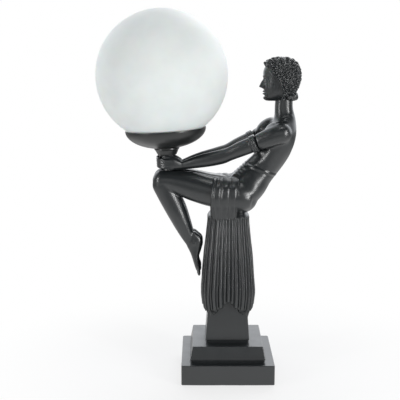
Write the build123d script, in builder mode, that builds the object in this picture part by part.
# Figural table lamp: a seated woman on a draped pedestal holds a dish and an opal globe over her knees.
# Millimetres. +Z is up, the figure faces -X, and the origin is the centre of the plinth's underside.
import math
import os

from build123d import *

os.makedirs("parts", exist_ok=True)

# ---------------------------------------------------------------- plinth
pad_thickness = 1.5
pad_margin = 2.5
base_side = 128.0
lower_step_top = 29.0
base_corner_radius = 2.5
edge_round = 1.2
upper_step_side = 104.0
upper_step_top_side = 97.0
upper_step_top = 51.0
reveal_height = 2.5
reveal_depth = 1.8
base_wall = 7.0
plate_thickness = 2.0
plate_ledge = 5.0
plate_clearance = 0.3
upper_wall = 14.0
boss_radius = 5.5
boss_overlap = 1.0
screw_radius = 1.75
screw_head_radius = 3.5
screw_length = 12.0
screw_clearance = 0.1
roof_thickness = 8.0

# ---------------------------------------------------------------- pedestal and its cloth
pedestal_side = 61.0
pedestal_top_side = 47.5
pedestal_top = 150.0
spigot_side = 24.0
spigot_depth = 4.0
joint_clearance = 0.2
socket_clearance = 0.4
thread_clearance = 0.05
column_top = 220.0
column_centre_x = 1.0
# drop below the seat and half width of the cloth, down to the lowest hem point
cloth_drops = [0.0, 28.0, 59.0, 99.0, 112.0, 137.0]
cloth_half_widths = [27.5, 31.5, 35.0, 38.5, 37.5, 29.5]
pleat_count = 36
pleat_depth_top = 0.9
pleat_depth_hem = 2.2
cloth_squareness = 4.0
hem_apex_drop = 108.0
hem_slope = 0.69

# ---------------------------------------------------------------- tie tube through the middle
tie_radius = 5.0
tie_bore_radius = 3.9
tie_tail = 9.0
washer_radius = 13.0
washer_thickness = 1.5
nut_across_flats = 14.0
nut_height = 4.5
insert_radius = 8.0
insert_height = 18.0
insert_rise = 16.0

# ---------------------------------------------------------------- figure: points above the seat
hip_point = (20.0, 19.5, 39.0)
knee_point = (-88.5, 12.0, 57.5)
ankle_rise = -33.0
ankle_offset = 18.5
foot_spread = 8.0
knee_radius = 14.3
shin_start_offset = (-1.5, 0.0, -5.5)
shoulder_point = (70.0, 39.0, 124.0)
shoulder_radius = 14.0
armband_share = 0.235
arm_step = 0.02
head_point = (76.0, 0.0, 197.0)
bust_point = (46.5, 10.5, 98.0)
bust_radius = 11.0
buttock_point = (26.0, 15.0, 36.0)
buttock_radius = 21.0
bun_point = (90.0, 0.0, 171.0)
bun_radius = 8.0
foot_clearance = 0.4
lap_block_width = 51.0
lap_block_side = 52.0
lap_block_rise = 32.0
lap_block_corner = 8.5
# share of the way from hip to knee, drop below that line, half width sideways, half depth
thigh_rows = [
    (0.00, 0.0, 24.0, 21.0),
    (0.26, 2.8, 22.0, 20.0),
    (0.46, 3.0, 19.5, 19.0),
    (0.69, 0.8, 16.5, 16.5),
    (0.90, -0.6, 13.8, 14.0),
    (1.00, 0.0, 12.8, 13.0),
]
# share of the way from knee to ankle, push towards the back, half width sideways, half depth
shin_rows = [
    (0.00, 0.0, 12.6, 12.4),
    (0.34, 1.5, 13.0, 13.2),
    (0.46, 1.0, 12.4, 12.6),
    (0.65, -0.6, 10.2, 10.4),
    (0.84, 0.0, 8.2, 8.4),
    (1.00, 0.0, 7.4, 7.6),
]
# height above the ankle, thickness from sole to instep, half width
foot_rows = [
    (6.0, 15.0, 7.2),
    (-9.0, 22.0, 8.4),
    (-22.0, 15.4, 8.6),
    (-35.0, 9.0, 9.2),
    (-44.0, 6.6, 8.4),
    (-47.0, 4.0, 6.4),
]
# x, height above the seat, half width sideways, half depth, from the pelvis to the neck
torso_rows = [
    (20.0, 35.0, 33.0, 18.0),
    (27.0, 43.0, 38.5, 23.5),
    (35.0, 53.0, 35.5, 25.0),
    (44.0, 67.0, 29.0, 22.5),
    (56.5, 85.0, 32.5, 23.5),
    (66.5, 108.0, 37.0, 23.5),
    (74.5, 128.0, 38.0, 18.5),
    (77.0, 141.0, 20.0, 14.5),
    (76.0, 151.0, 12.6, 12.8),
    (75.5, 164.0, 12.0, 12.4),
    (76.0, 178.0, 12.0, 12.6),
]
# height from the head's centre, shift along X, half length, half width
head_rows = [
    (-31.5, -10.0, 5.0, 4.5),
    (-27.0, -7.5, 14.0, 11.0),
    (-16.0, -2.5, 22.0, 18.0),
    (-4.0, 0.0, 25.5, 20.8),
    (8.0, 0.5, 25.5, 20.8),
    (18.0, 0.0, 20.5, 17.0),
    (25.0, -0.5, 11.0, 9.5),
    (27.5, -0.5, 3.5, 3.0),
]
# share of the way from shoulder to wrist, drop below that line, half width sideways, half depth
arm_rows = [
    (0.00, 0.0, 13.0, 14.0),
    (0.13, 1.0, 11.2, 12.2),
    (0.257, 1.9, 10.6, 11.0),
    (0.39, 3.2, 9.8, 10.4),
    (0.50, 5.2, 8.8, 9.0),
    (0.64, 5.4, 8.4, 8.6),
    (0.743, 3.8, 7.8, 8.0),
    (0.846, 2.2, 6.8, 6.9),
    (0.95, 0.9, 5.4, 5.4),
    (1.00, 0.0, 5.0, 4.8),
    (1.05, -1.6, 5.6, 5.6),
]
armband_rings = 3
armband_pitch = 2.6
armband_swell = 1.1
dowel_radius = 2.0
dowel_length = 16.0
# height above the stem's foot, half length and half width of the clasped hands
hand_rows = [
    (2.0, 12.0, 12.5),
    (6.0, 14.2, 15.0),
    (12.0, 14.4, 14.8),
    (17.0, 12.2, 12.6),
    (19.2, 10.0, 10.6),
]

# ---------------------------------------------------------------- stem, dish and globe
stem_lean = 3.5
stem_from_knee = (6.3, 0.0, 12.5)
wrist_from_stem = (16.2, 9.0, 7.0)
stem_radius = 5.0
stem_bore_radius = 3.9
sleeve_radius = 7.8
sleeve_start = 8.0
collar_start = 21.5
collar_radius = 12.8
collar_top_radius = 17.3
collar_band = 3.0
dish_bottom = 30.0
dish_rim = 57.1
dish_radius = 55.6
dish_wall = 1.8
dish_gap = 0.1
globe_radius = 90.0
globe_wall = 2.2
globe_gap = 0.3
neck_inset = 15.6
neck_wall = 2.6
neck_clearance = 2.8
seat_ring_width = 4.2
seat_ring_lip = 0.24
seat_washer_radius = 8.0
conduit_radius = 3.5
conduit_bore_radius = 2.7
conduit_bend = 10.0
conduit_corner_rise = 42.0
conduit_corner_drop = 14.5
conduit_lap = 6.0
casting_clearance = 0.1
lead_radius = 2.1
lead_bend = 8.0

# ---------------------------------------------------------------- lampholder and bulb
holder_radius = 14.0
holder_wall = 1.5
holder_gap = 1.0
cap_height = 18.0
skirt_height = 29.0
insulator_height = 4.0
liner_bore_radius = 7.25
liner_wall = 0.6
liner_height = 20.0
contact_radius = 2.6
contact_height = 2.0
bulb_cap_radius = 6.95
bulb_cap_height = 19.5
bulb_radius = 22.5
bulb_length = 78.0
bulb_wall = 0.9
bulb_contact_height = 1.2
contact_gap = 0.3
terminal_screw_radius = 1.5

# ---------------------------------------------------------------- inlet and terminal block
inlet_height = 13.5
bush_bore_radius = 3.5
bush_radius = 6.0
bush_flange_radius = 8.5
bush_flange = 2.0
block_length = 22.0
block_width = 14.0
block_height = 11.0
block_centre = (26.0, 22.0)
block_hole_radius = 2.2

# ---------------------------------------------------------------- places worked out from the sizes
seat = column_top
lean = math.radians(stem_lean)
stem_up = Vector(-math.sin(lean), 0, math.cos(lean))
stem_across = Vector(math.cos(lean), 0, math.sin(lean))
knee_x, knee_y, knee_rise = knee_point
stem_foot = Vector(knee_x + stem_from_knee[0], 0, seat + knee_rise + stem_from_knee[2])
stem_axis = Axis(stem_foot, stem_up)
stem_section = Plane(origin=stem_foot, x_dir=stem_across, z_dir=(0, -1, 0))
plate_top = pad_thickness + plate_thickness
roof_under = upper_step_top - roof_thickness
cloth_heights = [column_top - drop for drop in cloth_drops]
hem_apex_height = column_top - hem_apex_drop
ring_radius = dish_radius - dish_wall
ring_depth = dish_rim - dish_bottom - dish_wall
neck_radius = dish_radius - neck_inset
# the globe sits on its seat ring, which ends this far inside the dish at the rim
globe_centre = dish_rim + math.sqrt((globe_radius + globe_gap) ** 2 - (ring_radius - seat_ring_lip) ** 2)


def stem_plane(height):
    """Plane square to the stem, this far above its foot."""
    return Plane(origin=stem_foot + stem_up * height, x_dir=stem_across, z_dir=stem_up)


def dish_height(radius, across, depth):
    """Height on the stem of a bowl of these half axes, at this radius."""
    return dish_rim - depth * math.sqrt(1 - (radius / across) ** 2)


def globe_height(radius, sphere):
    """Height on the stem of the lower half of a sphere about the globe's centre."""
    return globe_centre - math.sqrt(sphere**2 - radius**2)


def cloth_half_width(height):
    """Half width of the hanging cloth at a height, from its list."""
    pairs = list(zip(cloth_heights, cloth_half_widths))
    for (upper, wide_up), (lower, wide_low) in zip(pairs, pairs[1:]):
        if height >= lower:
            share = (upper - height) / (upper - lower)
            return wide_up + share * (wide_low - wide_up)
    return cloth_half_widths[-1]


def between(start, end, share, drop):
    """Point on the way from start to end, dropped below that line."""
    point = start + (end - start) * share
    return point - Vector(0, 0, drop)


def mirrored(point, side):
    """The same point on the left (-1) or right (+1) of the figure."""
    return Vector(point.X, side * point.Y, point.Z)


def limb_sections(rows, first_normal=None, last_normal=None):
    """Ellipses along a limb: each row is a centre, half width sideways and half depth."""
    centres = [row[0] for row in rows]
    normals = [after - before for before, after in zip(centres[:1] + centres, centres[1:] + centres[-1:])]
    normals[0] = first_normal or normals[0]
    normals[-1] = last_normal or normals[-1]
    sections = []
    for (centre, wide, deep), normal in zip(rows, normals):
        with BuildSketch(Plane(origin=centre, x_dir=(0, 1, 0), z_dir=normal)) as section:
            Ellipse(wide, deep)
        sections.append(section.sketch)
    return sections


def tube_section(path, outer, inner=0.0):
    """Round profile square to a path's start."""
    with BuildSketch(Plane(origin=path @ 0, z_dir=path % 0)) as section:
        Circle(outer)
        if inner:
            Circle(inner, mode=Mode.SUBTRACT)
    return section.sketch


def nut_outline():
    """Hexagon with a bore for the threaded tube."""
    RegularPolygon(nut_across_flats / math.sqrt(3), 6)
    Circle(tie_radius + thread_clearance, mode=Mode.SUBTRACT)


def save(part, name):
    """Label one sub-part and write its file."""
    part.label = name
    export_step(part, f"parts/{name}.step")


# ================================================================ plinth
with BuildPart(Plane.XY) as felt_pad:
    with BuildSketch():
        RectangleRounded(base_side - 2 * pad_margin, base_side - 2 * pad_margin, base_corner_radius)
    extrude(amount=pad_thickness)
save(felt_pad.part, "felt_pad")

cavity_side = base_side - 2 * base_wall
plate_side = cavity_side + 2 * plate_ledge - 2 * plate_clearance
boss_pitch = cavity_side - 2 * boss_radius + 2 * boss_overlap
upper_cavity_side = upper_step_top_side - 2 * upper_wall
reveal_side = upper_step_side - 2 * reveal_depth

with BuildPart() as stepped_base:
    with BuildSketch(Plane.XY.offset(pad_thickness)):
        RectangleRounded(base_side, base_side, base_corner_radius)
    extrude(amount=lower_step_top - pad_thickness)
    fillet(stepped_base.faces().sort_by(Axis.Z)[-1].edges(), radius=edge_round)
    with BuildSketch(Plane.XY.offset(lower_step_top)):
        Rectangle(reveal_side, reveal_side)
    extrude(amount=reveal_height)
    block_start = lower_step_top + reveal_height
    with BuildSketch(Plane.XY.offset(block_start)):
        RectangleRounded(upper_step_side - 2 * edge_round, upper_step_side - 2 * edge_round, edge_round)
    with BuildSketch(Plane.XY.offset(block_start + edge_round)):
        RectangleRounded(upper_step_side, upper_step_side, edge_round)
    with BuildSketch(Plane.XY.offset(upper_step_top)):
        RectangleRounded(upper_step_top_side, upper_step_top_side, edge_round)
    loft(ruled=True)
    fillet(stepped_base.faces().sort_by(Axis.Z)[-1].edges(), radius=edge_round)
    # rebate for the plate, the two stacked cavities, and the screw bosses
    with BuildSketch(Plane.XY.offset(pad_thickness)):
        Rectangle(plate_side + 2 * plate_clearance, plate_side + 2 * plate_clearance)
    extrude(amount=plate_thickness, mode=Mode.SUBTRACT)
    with BuildSketch(Plane.XY.offset(plate_top)):
        Rectangle(cavity_side, cavity_side)
        with GridLocations(boss_pitch, boss_pitch, 2, 2):
            Rectangle(2 * boss_radius, 2 * boss_radius, mode=Mode.SUBTRACT)
    extrude(amount=lower_step_top - base_wall - plate_top, mode=Mode.SUBTRACT)
    with BuildSketch(Plane.XY.offset(lower_step_top - base_wall)):
        Rectangle(upper_cavity_side, upper_cavity_side)
    extrude(amount=roof_under - lower_step_top + base_wall, mode=Mode.SUBTRACT)
    # screw holes, the tie tube's hole, the pedestal's socket and the cord's inlet
    with BuildSketch(Plane.XY.offset(plate_top)):
        with GridLocations(boss_pitch, boss_pitch, 2, 2):
            Circle(screw_radius + screw_clearance)
    extrude(amount=screw_length, mode=Mode.SUBTRACT)
    with BuildSketch(Plane.XY.offset(roof_under)):
        Circle(tie_radius + joint_clearance)
    extrude(amount=roof_thickness, mode=Mode.SUBTRACT)
    with BuildSketch(Plane.XY.offset(upper_step_top)):
        Rectangle(spigot_side + 2 * joint_clearance, spigot_side + 2 * joint_clearance)
    extrude(amount=-spigot_depth - joint_clearance, mode=Mode.SUBTRACT)
    with BuildSketch(Plane(origin=(0, base_side / 2, inlet_height), z_dir=(0, 1, 0))):
        Circle(bush_radius + joint_clearance)
    extrude(amount=-base_wall, mode=Mode.SUBTRACT)
save(stepped_base.part, "stepped_base")

from_below = (Align.CENTER, Align.CENTER, Align.MIN)
with BuildPart(Plane.XY.offset(pad_thickness)) as base_plate:
    Box(plate_side, plate_side, plate_thickness, align=from_below)
    with GridLocations(boss_pitch, boss_pitch, 2, 2):
        Cone(
            bottom_radius=screw_head_radius + screw_clearance,
            top_radius=screw_radius + screw_clearance,
            height=plate_thickness,
            align=from_below,
            mode=Mode.SUBTRACT,
        )
save(base_plate.part, "base_plate")

with BuildPart(Plane.XY.offset(pad_thickness)) as base_plate_screws:
    with GridLocations(boss_pitch, boss_pitch, 2, 2):
        Cone(
            bottom_radius=screw_head_radius,
            top_radius=screw_radius,
            height=plate_thickness,
            align=from_below,
        )
        Cylinder(screw_radius, screw_length, align=from_below)
save(base_plate_screws.part, "base_plate_screws")

bush_plane = Plane(origin=(0, base_side / 2, inlet_height), z_dir=(0, 1, 0))
with BuildPart() as cord_bush:
    with BuildSketch(bush_plane):
        Circle(bush_flange_radius)
    extrude(amount=bush_flange)
    fillet(cord_bush.faces().sort_by(Axis.Y)[-1].edges(), radius=bush_flange / 3)
    with BuildSketch(bush_plane):
        Circle(bush_radius)
    extrude(amount=-base_wall - bush_flange)
    with BuildSketch(bush_plane.offset(bush_flange)):
        Circle(bush_bore_radius)
    extrude(amount=-base_wall - 2 * bush_flange, mode=Mode.SUBTRACT)
save(cord_bush.part, "cord_bush")

with BuildPart(Plane.XY.offset(plate_top)) as terminal_block:
    with Locations((block_centre[0], block_centre[1], 0)):
        Box(block_length, block_width, block_height, align=from_below)
    fillet(terminal_block.edges().filter_by(Axis.Z), radius=edge_round)
    with BuildSketch(Plane.XZ.offset(-block_centre[1])):
        with Locations((block_centre[0], plate_top + block_height / 2)):
            with GridLocations(block_length / 2, 0, 2, 1):
                Circle(block_hole_radius)
    extrude(amount=block_width / 2, both=True, mode=Mode.SUBTRACT)
save(terminal_block.part, "terminal_block")

with BuildPart(Plane.XY.offset(plate_top + block_height)) as terminal_block_screws:
    with Locations((block_centre[0], block_centre[1], 0)):
        with GridLocations(block_length / 2, block_width / 2, 2, 2):
            Cylinder(terminal_screw_radius, terminal_screw_radius, align=from_below)
save(terminal_block_screws.part, "terminal_block_screws")

# ================================================================ pedestal
pedestal_taper = (pedestal_side - pedestal_top_side) / (pedestal_top - upper_step_top)
with BuildPart() as pedestal:
    with BuildSketch(Plane.XY.offset(upper_step_top)):
        Rectangle(pedestal_side - 2 * reveal_depth, pedestal_side - 2 * reveal_depth)
    extrude(amount=reveal_height)
    pedestal_start = upper_step_top + reveal_height
    with BuildSketch(Plane.XY.offset(pedestal_start)):
        RectangleRounded(pedestal_side - 2 * edge_round, pedestal_side - 2 * edge_round, edge_round)
    with BuildSketch(Plane.XY.offset(pedestal_start + edge_round)):
        RectangleRounded(pedestal_side, pedestal_side, edge_round)
    with BuildSketch(Plane.XY.offset(pedestal_top)):
        RectangleRounded(pedestal_top_side, pedestal_top_side, edge_round)
    loft(ruled=True)
    with BuildSketch(Plane.XY.offset(upper_step_top - spigot_depth)):
        Rectangle(spigot_side, spigot_side)
    extrude(amount=spigot_depth)
    with BuildSketch(Plane.XY.offset(upper_step_top - spigot_depth)):
        Circle(tie_radius + joint_clearance)
    extrude(amount=pedestal_top - upper_step_top + spigot_depth, mode=Mode.SUBTRACT)
save(pedestal.part, "pedestal")


# ================================================================ hanging cloth on the pedestal
def cloth_outline(half_width, depth):
    """Rounded square with folds: crests and valleys in turn round the outline."""
    points = []
    for step in range(2 * pleat_count):
        angle = math.pi * step / pleat_count
        power = cloth_squareness
        reach = abs(math.cos(angle)) ** power + abs(math.sin(angle)) ** power
        radius = half_width * reach ** (-1 / power) - depth * (step % 2)
        points.append((radius * math.cos(angle), radius * math.sin(angle)))
    return points


with BuildPart() as drapery_column:
    for height, half_width in zip(cloth_heights, cloth_half_widths):
        share = (column_top - height) / (column_top - cloth_heights[-1])
        depth = pleat_depth_top + share * (pleat_depth_hem - pleat_depth_top)
        with BuildSketch(Plane((column_centre_x, 0, height))):
            with BuildLine():
                Polyline(*cloth_outline(half_width, depth), close=True)
            make_face()
    loft(ruled=True)
    # the hem rises to a point in the middle of each side and hangs low at the corners
    hem_reach = 2 * max(cloth_half_widths)
    for across in (Plane.XZ, Plane.YZ):
        with BuildSketch(across):
            with BuildLine():
                shift = column_centre_x if across == Plane.XZ else 0
                low = hem_apex_height - hem_slope * hem_reach
                Polyline(
                    (shift - hem_reach, 0),
                    (shift - hem_reach, low),
                    (shift, hem_apex_height),
                    (shift + hem_reach, low),
                    (shift + hem_reach, 0),
                    close=True,
                )
            make_face()
        extrude(amount=hem_reach + column_centre_x, both=True, mode=Mode.SUBTRACT)
    # socket over the pedestal's head, and the tie tube's hole
    socket_low_side = pedestal_side - (cloth_heights[-1] - upper_step_top) * pedestal_taper
    with BuildSketch(Plane.XY.offset(cloth_heights[-1])):
        Rectangle(socket_low_side + 2 * socket_clearance, socket_low_side + 2 * socket_clearance)
    with BuildSketch(Plane.XY.offset(pedestal_top)):
        Rectangle(pedestal_top_side + 2 * socket_clearance, pedestal_top_side + 2 * socket_clearance)
    loft(ruled=True, mode=Mode.SUBTRACT)
    with BuildSketch(Plane.XY.offset(pedestal_top)):
        Circle(tie_radius + joint_clearance)
    extrude(amount=column_top - pedestal_top, mode=Mode.SUBTRACT)
save(drapery_column.part, "drapery_column")

# ================================================================ tie tube and its hardware
corner_low = Vector(0, 0, seat + conduit_corner_rise)
corner_knee = stem_foot - stem_up * conduit_corner_drop
first_turn = (corner_knee - corner_low).get_angle(Vector(0, 0, 1))
tie_start = roof_under - tie_tail
tie_end = corner_low.Z - conduit_bend * math.tan(math.radians(first_turn) / 2) - joint_clearance
with BuildPart() as tie_tube:
    with BuildSketch(Plane.XY.offset(tie_start)):
        Circle(tie_radius)
        Circle(tie_bore_radius, mode=Mode.SUBTRACT)
    extrude(amount=tie_end - tie_start)
save(tie_tube.part, "tie_tube")

with BuildPart() as tie_washer:
    with BuildSketch(Plane.XY.offset(roof_under - washer_thickness)):
        Circle(washer_radius)
        Circle(tie_radius + joint_clearance, mode=Mode.SUBTRACT)
    extrude(amount=washer_thickness)
save(tie_washer.part, "tie_washer")

with BuildPart() as tie_nut:
    with BuildSketch(Plane.XY.offset(roof_under - washer_thickness - nut_height)):
        nut_outline()
    extrude(amount=nut_height)
save(tie_nut.part, "tie_nut")

insert_start = seat + insert_rise
with BuildPart() as tie_insert:
    with BuildSketch(Plane.XY.offset(insert_start)):
        Circle(insert_radius)
        Circle(tie_radius + thread_clearance, mode=Mode.SUBTRACT)
    extrude(amount=insert_height)
save(tie_insert.part, "tie_insert")

# ================================================================ conduit and lead
turn_angle = (corner_knee - corner_low).get_angle(stem_up)
bend_end = conduit_bend * math.tan(math.radians(turn_angle) / 2) - conduit_corner_drop
nipple_start = bend_end + joint_clearance
conduit_end = nipple_start + conduit_lap
dish_depth = dish_rim - dish_bottom
washer_under = dish_height(seat_washer_radius, ring_radius, ring_depth)
cap_start = washer_under + washer_thickness + nut_height + holder_gap
nipple_end = cap_start + cap_height / 2
lead_end = cap_start + cap_height

with BuildPart() as conduit_tube:
    with BuildLine() as conduit_path:
        FilletPolyline(
            Vector(0, 0, tie_end - conduit_lap),
            corner_low,
            corner_knee,
            stem_foot + stem_up * conduit_end,
            radius=conduit_bend,
        )
    sweep(tube_section(conduit_path.line, conduit_radius, conduit_bore_radius), path=conduit_path.line)
save(conduit_tube.part, "conduit_tube")

block_face = block_centre[1] - block_width / 2
lead_level = plate_top + block_height / 2
with BuildPart() as inner_lead:
    with BuildLine() as lead_path:
        FilletPolyline(
            Vector(block_centre[0] - block_length / 4, block_face, lead_level),
            Vector(block_centre[0] - block_length / 4, 0, lead_level),
            Vector(0, 0, lead_level + lead_bend),
            corner_low,
            corner_knee,
            stem_foot + stem_up * lead_end,
            radius=[lead_bend, lead_bend, conduit_bend, conduit_bend],
        )
    sweep(tube_section(lead_path.line, lead_radius), path=lead_path.line)
save(inner_lead.part, "inner_lead")

# ================================================================ figure
hip = Vector(hip_point[0], hip_point[1], seat + hip_point[2])
knee = Vector(knee_x, knee_y, seat + knee_rise)
shoulder = Vector(shoulder_point[0], shoulder_point[1], seat + shoulder_point[2])
ankle_height = seat + ankle_rise
sole_x = column_centre_x - cloth_half_width(ankle_height) - foot_clearance
ankle = Vector(sole_x - ankle_offset, foot_spread, ankle_height)
shin_start = knee + Vector(*shin_start_offset)
wrist = stem_foot + Vector(*wrist_from_stem)


def leg_rows(rows, start, end, side, push):
    """Stations on the way from start to end, dropped or pushed off the line, on one side."""
    result = []
    for share, off, wide, deep in rows:
        point = start + (end - start) * share
        point = point + Vector(off * push[0], 0, off * push[1])
        result.append((mirrored(point, side), wide, deep))
    return result


def foot_stations(side):
    """Foot sections whose soles lie against the hanging cloth."""
    result = []
    for rise, thick, wide in foot_rows:
        height = ankle_height + rise
        sole = column_centre_x - cloth_half_width(height) - foot_clearance
        centre = Vector(sole - thick / 2, side * foot_spread, height)
        result.append((centre, wide, thick / 2))
    return result


def arm_stations(side, first_share, last_share):
    """Arm sections between two shares of the way from shoulder to wrist."""
    result = []
    for share, drop, wide, deep in arm_rows:
        if first_share <= share <= last_share:
            result.append((mirrored(between(shoulder, wrist, share, drop), side), wide, deep))
    return result


def arm_at(side, share):
    """Arm section at any share of the way, worked out from the rows on either side of it."""
    for lower, upper in zip(arm_rows, arm_rows[1:]):
        if lower[0] <= share <= upper[0]:
            mix = (share - lower[0]) / (upper[0] - lower[0])
            drop, wide, deep = (a + mix * (b - a) for a, b in zip(lower[1:], upper[1:]))
            return mirrored(between(shoulder, wrist, share, drop), side), wide, deep
    return mirrored(wrist, side), arm_rows[-1][2], arm_rows[-1][3]


def arm_plane(side):
    """Plane of the joint under the armband, facing the hand."""
    centre = arm_at(side, armband_share)[0]
    ahead = arm_at(side, armband_share + arm_step)[0]
    behind = arm_at(side, armband_share - arm_step)[0]
    return Plane(origin=centre, x_dir=(0, 1, 0), z_dir=ahead - behind)


with BuildPart() as figure_body:
    torso = [(Vector(x, 0, seat + rise), wide, deep) for x, rise, wide, deep in torso_rows]
    loft(limb_sections(torso))
    head_centre = Vector(head_point[0], head_point[1], seat + head_point[2])
    for rise, shift, long, wide in head_rows:
        with BuildSketch(Plane(head_centre + Vector(shift, 0, rise))):
            Ellipse(long, wide)
    loft()
    with Locations(Vector(bun_point[0], bun_point[1], seat + bun_point[2])):
        Sphere(bun_radius)
    # lap cloth between the thighs and the pedestal
    with BuildSketch(Plane((column_centre_x, 0, seat))):
        RectangleRounded(lap_block_width, lap_block_side, lap_block_corner)
    extrude(amount=lap_block_rise)
    for side in (-1, 1):
        loft(limb_sections(leg_rows(thigh_rows, hip, knee, side, (0, -1))))
        with Locations(mirrored(knee, side)):
            Sphere(knee_radius)
        loft(limb_sections(leg_rows(shin_rows, shin_start, ankle, side, (1, 0))))
        loft(limb_sections(foot_stations(side)))
        with Locations(Vector(bust_point[0], side * bust_point[1], seat + bust_point[2])):
            Sphere(bust_radius)
        with Locations(Vector(buttock_point[0], side * buttock_point[1], seat + buttock_point[2])):
            Sphere(buttock_radius)
        with Locations(mirrored(shoulder, side)):
            Sphere(shoulder_radius)
        stub = arm_stations(side, 0, armband_share) + [arm_at(side, armband_share)]
        loft(limb_sections(stub, last_normal=arm_plane(side).z_dir))
    # the seat is flat, and channels take the tie tube, its insert, the conduit, the stem and the dowels
    with BuildSketch(Plane.XY.offset(seat)):
        Circle(tie_radius + casting_clearance)
    extrude(amount=tie_end - seat + joint_clearance / 2, mode=Mode.SUBTRACT)
    with BuildSketch(Plane.XY.offset(insert_start)):
        Circle(insert_radius + casting_clearance)
    extrude(amount=insert_height, mode=Mode.SUBTRACT)
    for stretch in conduit_path.line.edges():
        sweep(
            tube_section(stretch, conduit_radius + casting_clearance),
            path=stretch,
            mode=Mode.SUBTRACT,
        )
    with BuildSketch(stem_plane(nipple_start)):
        Circle(stem_radius + casting_clearance)
    extrude(amount=conduit_corner_drop + hand_rows[0][0] - nipple_start, mode=Mode.SUBTRACT)
    for side in (-1, 1):
        with BuildSketch(arm_plane(side)):
            Circle(dowel_radius + casting_clearance)
        extrude(amount=-dowel_length / 2, mode=Mode.SUBTRACT)
save(figure_body.part, "figure_body")

with BuildPart() as arm_dowels:
    for side in (-1, 1):
        with BuildSketch(arm_plane(side)):
            Circle(dowel_radius)
        extrude(amount=dowel_length / 2, both=True)
save(arm_dowels.part, "arm_dowels")

knee_top = seat + knee_rise + knee_radius
with BuildPart() as figure_arms:
    for side in (-1, 1):
        rows = [arm_at(side, armband_share)] + arm_stations(side, armband_share, 2)
        loft(limb_sections(rows, first_normal=arm_plane(side).z_dir))
        for ring in range(armband_rings):
            share = armband_share + (ring + 0.5) * armband_pitch / (wrist - shoulder).length
            centre, wide, deep = arm_at(side, share)
            with BuildSketch(Plane(origin=centre, x_dir=(0, 1, 0), z_dir=arm_plane(side).z_dir)):
                Ellipse(wide + armband_swell, deep + armband_swell)
            extrude(amount=armband_pitch / 3, both=True)
    for rise, long, wide in hand_rows:
        with BuildSketch(stem_plane(rise)):
            Ellipse(long, wide)
    loft()
    # the palms clear the knees, and the stem and its sleeve pass through
    with BuildSketch(Plane((stem_foot.X, 0, knee_top + foot_clearance))):
        Rectangle(6 * sleeve_radius, 6 * sleeve_radius)
    extrude(amount=-knee_radius, mode=Mode.SUBTRACT)
    with BuildSketch(stem_plane(0)):
        Circle(stem_radius + casting_clearance)
    extrude(amount=collar_start, mode=Mode.SUBTRACT)
    with BuildSketch(stem_plane(sleeve_start)):
        Circle(sleeve_radius + casting_clearance)
    extrude(amount=collar_start - sleeve_start, mode=Mode.SUBTRACT)
    for side in (-1, 1):
        with BuildSketch(arm_plane(side)):
            Circle(dowel_radius + casting_clearance)
        extrude(amount=dowel_length / 2, mode=Mode.SUBTRACT)
save(figure_arms.part, "figure_arms")

# ================================================================ stem stack
with BuildPart() as stem_nipple:
    with BuildSketch(stem_plane(nipple_start)):
        Circle(stem_radius)
        Circle(stem_bore_radius, mode=Mode.SUBTRACT)
    extrude(amount=nipple_end - nipple_start)
save(stem_nipple.part, "stem_nipple")

with BuildPart() as stem_sleeve:
    with BuildSketch(stem_plane(sleeve_start)):
        Circle(sleeve_radius)
        Circle(stem_radius + joint_clearance, mode=Mode.SUBTRACT)
    extrude(amount=collar_start - sleeve_start)
save(stem_sleeve.part, "stem_sleeve")

collar_top = dish_height(collar_top_radius, dish_radius + dish_gap, dish_depth + dish_gap)
with BuildPart() as collar:
    with BuildSketch(stem_section):
        with BuildLine():
            bore = stem_radius + joint_clearance
            bowl_across = dish_radius + dish_gap
            bowl_depth = dish_depth + dish_gap
            bowl_start = math.degrees(math.acos(bore / bowl_across))
            bowl_sweep = bowl_start - math.degrees(math.acos(collar_top_radius / bowl_across))
            inner_top = dish_height(bore, bowl_across, bowl_depth)
            Line((bore, inner_top), (bore, collar_start))
            Line((bore, collar_start), (collar_radius, collar_start))
            neck_top = collar_top - collar_band
            Line((collar_radius, collar_start), (collar_top_radius - edge_round, neck_top))
            Line((collar_top_radius - edge_round, neck_top), (collar_top_radius, neck_top + edge_round))
            Line((collar_top_radius, neck_top + edge_round), (collar_top_radius, collar_top))
            EllipticalCenterArc((0, dish_rim), bowl_across, bowl_depth, -bowl_start, arc_size=bowl_sweep)
        make_face()
    revolve(axis=stem_axis)
save(collar.part, "collar")

with BuildPart() as dish:
    with BuildSketch(stem_section):
        with BuildLine():
            bore = stem_radius + joint_clearance
            outer_start = math.degrees(math.acos(bore / dish_radius))
            inner_start = math.degrees(math.acos(bore / ring_radius))
            EllipticalCenterArc((0, dish_rim), dish_radius, dish_depth, -outer_start, arc_size=outer_start)
            EllipticalCenterArc((0, dish_rim), ring_radius, ring_depth, -inner_start, arc_size=inner_start)
            Line((ring_radius, dish_rim), (dish_radius, dish_rim))
            Line(
                (bore, dish_height(bore, ring_radius, ring_depth)),
                (bore, dish_height(bore, dish_radius, dish_depth)),
            )
        make_face()
    revolve(axis=stem_axis)
save(dish.part, "dish")

with BuildPart() as dish_washer:
    with BuildSketch(stem_plane(washer_under)):
        Circle(seat_washer_radius)
        Circle(stem_radius + joint_clearance, mode=Mode.SUBTRACT)
    extrude(amount=washer_thickness)
save(dish_washer.part, "dish_washer")

with BuildPart() as dish_nut:
    with BuildSketch(stem_plane(washer_under + washer_thickness)):
        nut_outline()
    extrude(amount=nut_height)
save(dish_nut.part, "dish_nut")

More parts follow.
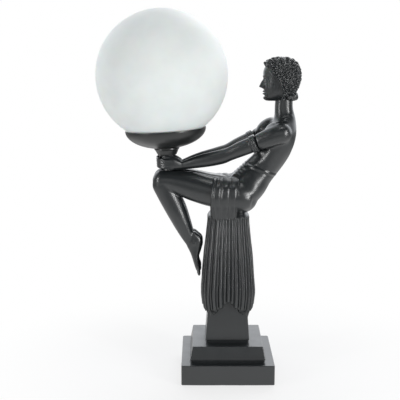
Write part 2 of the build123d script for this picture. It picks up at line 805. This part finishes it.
# ================================================================ seat ring and globe
with BuildPart() as seat_ring:
    with BuildSketch(stem_section):
        with BuildLine():
            ring_end = math.degrees(math.acos((ring_radius - seat_ring_width) / ring_radius))
            ring_sphere = globe_radius + globe_gap
            low_radius = ring_radius - seat_ring_width
            low_height = dish_height(low_radius, ring_radius, ring_depth)
            high_radius = ring_radius - seat_ring_lip
            inner_height = globe_height(low_radius, ring_sphere)
            EllipticalCenterArc((0, dish_rim), ring_radius, ring_depth, -ring_end, arc_size=ring_end)
            Line((ring_radius, dish_rim), (high_radius, dish_rim))
            RadiusArc((high_radius, dish_rim), (low_radius, inner_height), ring_sphere)
            Line((low_radius, inner_height), (low_radius, low_height))
        make_face()
    revolve(axis=stem_axis)
save(seat_ring.part, "seat_ring")

inner_sphere = globe_radius - globe_wall
neck_bore = neck_radius - neck_wall
neck_end = dish_height(neck_radius, ring_radius, ring_depth) + neck_clearance
with BuildPart() as globe:
    with BuildSketch(stem_section):
        with BuildLine():
            Line((neck_bore, neck_end), (neck_radius, neck_end))
            Line((neck_radius, neck_end), (neck_radius, globe_height(neck_radius, globe_radius)))
            ThreePointArc(
                (neck_radius, globe_height(neck_radius, globe_radius)),
                (globe_radius, globe_centre),
                (0, globe_centre + globe_radius),
            )
            Line((0, globe_centre + globe_radius), (0, globe_centre + inner_sphere))
            ThreePointArc(
                (0, globe_centre + inner_sphere),
                (inner_sphere, globe_centre),
                (neck_bore, globe_height(neck_bore, inner_sphere)),
            )
            Line((neck_bore, globe_height(neck_bore, inner_sphere)), (neck_bore, neck_end))
        make_face()
    revolve(axis=stem_axis)
    fillet(globe.faces().sort_by(stem_axis)[0].edges(), radius=neck_wall / 3)
save(globe.part, "globe")

# ================================================================ lampholder
skirt_start = cap_start + cap_height
insulator_start = skirt_start + holder_gap
liner_start = insulator_start + insulator_height
contact_start = liner_start
with BuildPart() as holder_cap:
    with BuildSketch(stem_plane(cap_start)):
        Circle(holder_radius - holder_wall)
    with BuildSketch(stem_plane(cap_start + cap_height)):
        Circle(holder_radius)
    loft()
    with BuildSketch(stem_plane(cap_start + holder_wall)):
        Circle(holder_radius - 2 * holder_wall)
    extrude(amount=cap_height, mode=Mode.SUBTRACT)
    with BuildSketch(stem_plane(cap_start)):
        Circle(stem_radius + thread_clearance)
    extrude(amount=holder_wall, mode=Mode.SUBTRACT)
save(holder_cap.part, "holder_cap")

with BuildPart() as holder_skirt:
    with BuildSketch(stem_plane(skirt_start)):
        Circle(holder_radius)
        Circle(holder_radius - holder_wall, mode=Mode.SUBTRACT)
    extrude(amount=skirt_height)
    with BuildSketch(stem_plane(skirt_start + skirt_height - holder_wall)):
        Circle(holder_radius)
        Circle(liner_bore_radius + liner_wall + joint_clearance, mode=Mode.SUBTRACT)
    extrude(amount=holder_wall)
    fillet(holder_skirt.faces().sort_by(stem_axis)[-1].outer_wire().edges(), radius=holder_wall / 2)
save(holder_skirt.part, "holder_skirt")

with BuildPart() as holder_insulator:
    with BuildSketch(stem_plane(insulator_start)):
        Circle(holder_radius - holder_wall - joint_clearance)
        Circle(lead_radius + joint_clearance, mode=Mode.SUBTRACT)
    extrude(amount=insulator_height)
save(holder_insulator.part, "holder_insulator")

with BuildPart() as holder_liner:
    with BuildSketch(stem_plane(liner_start)):
        Circle(liner_bore_radius + liner_wall)
        Circle(liner_bore_radius, mode=Mode.SUBTRACT)
    extrude(amount=liner_height)
save(holder_liner.part, "holder_liner")

with BuildPart() as centre_contact:
    with BuildSketch(stem_plane(contact_start)):
        Circle(contact_radius)
    extrude(amount=contact_height)
save(centre_contact.part, "centre_contact")

# ================================================================ bulb
bulb_start = contact_start + contact_height + contact_gap
bulb_cap_start = bulb_start + bulb_contact_height
bulb_centre = bulb_start + bulb_length - bulb_radius
bulb_neck_start = bulb_cap_start + bulb_cap_height
with BuildPart() as bulb_contact:
    with BuildSketch(stem_plane(bulb_start)):
        Circle(contact_radius)
    extrude(amount=bulb_contact_height)
save(bulb_contact.part, "bulb_contact")

with BuildPart() as bulb_cap:
    with BuildSketch(stem_plane(bulb_cap_start)):
        Circle(bulb_cap_radius)
    extrude(amount=bulb_cap_height)
    chamfer(bulb_cap.faces().sort_by(stem_axis)[0].edges(), length=bulb_cap_radius / 3)
save(bulb_cap.part, "bulb_cap")

with BuildPart() as bulb_glass:
    with BuildSketch(stem_section):
        with BuildLine():
            Line((0, bulb_neck_start), (bulb_cap_radius, bulb_neck_start))
            tangent_radius = bulb_radius * math.cos(math.radians(45))
            tangent_height = bulb_centre - bulb_radius * math.sin(math.radians(45))
            Spline(
                (bulb_cap_radius, bulb_neck_start),
                (tangent_radius, tangent_height),
                tangents=((0, 1), (1, 1)),
            )
            CenterArc((0, bulb_centre), bulb_radius, -45, 135)
            Line((0, bulb_centre + bulb_radius), (0, bulb_neck_start))
        make_face()
    revolve(axis=stem_axis)
    offset(amount=-bulb_wall, openings=bulb_glass.faces().sort_by(stem_axis)[0])
save(bulb_glass.part, "bulb_glass")
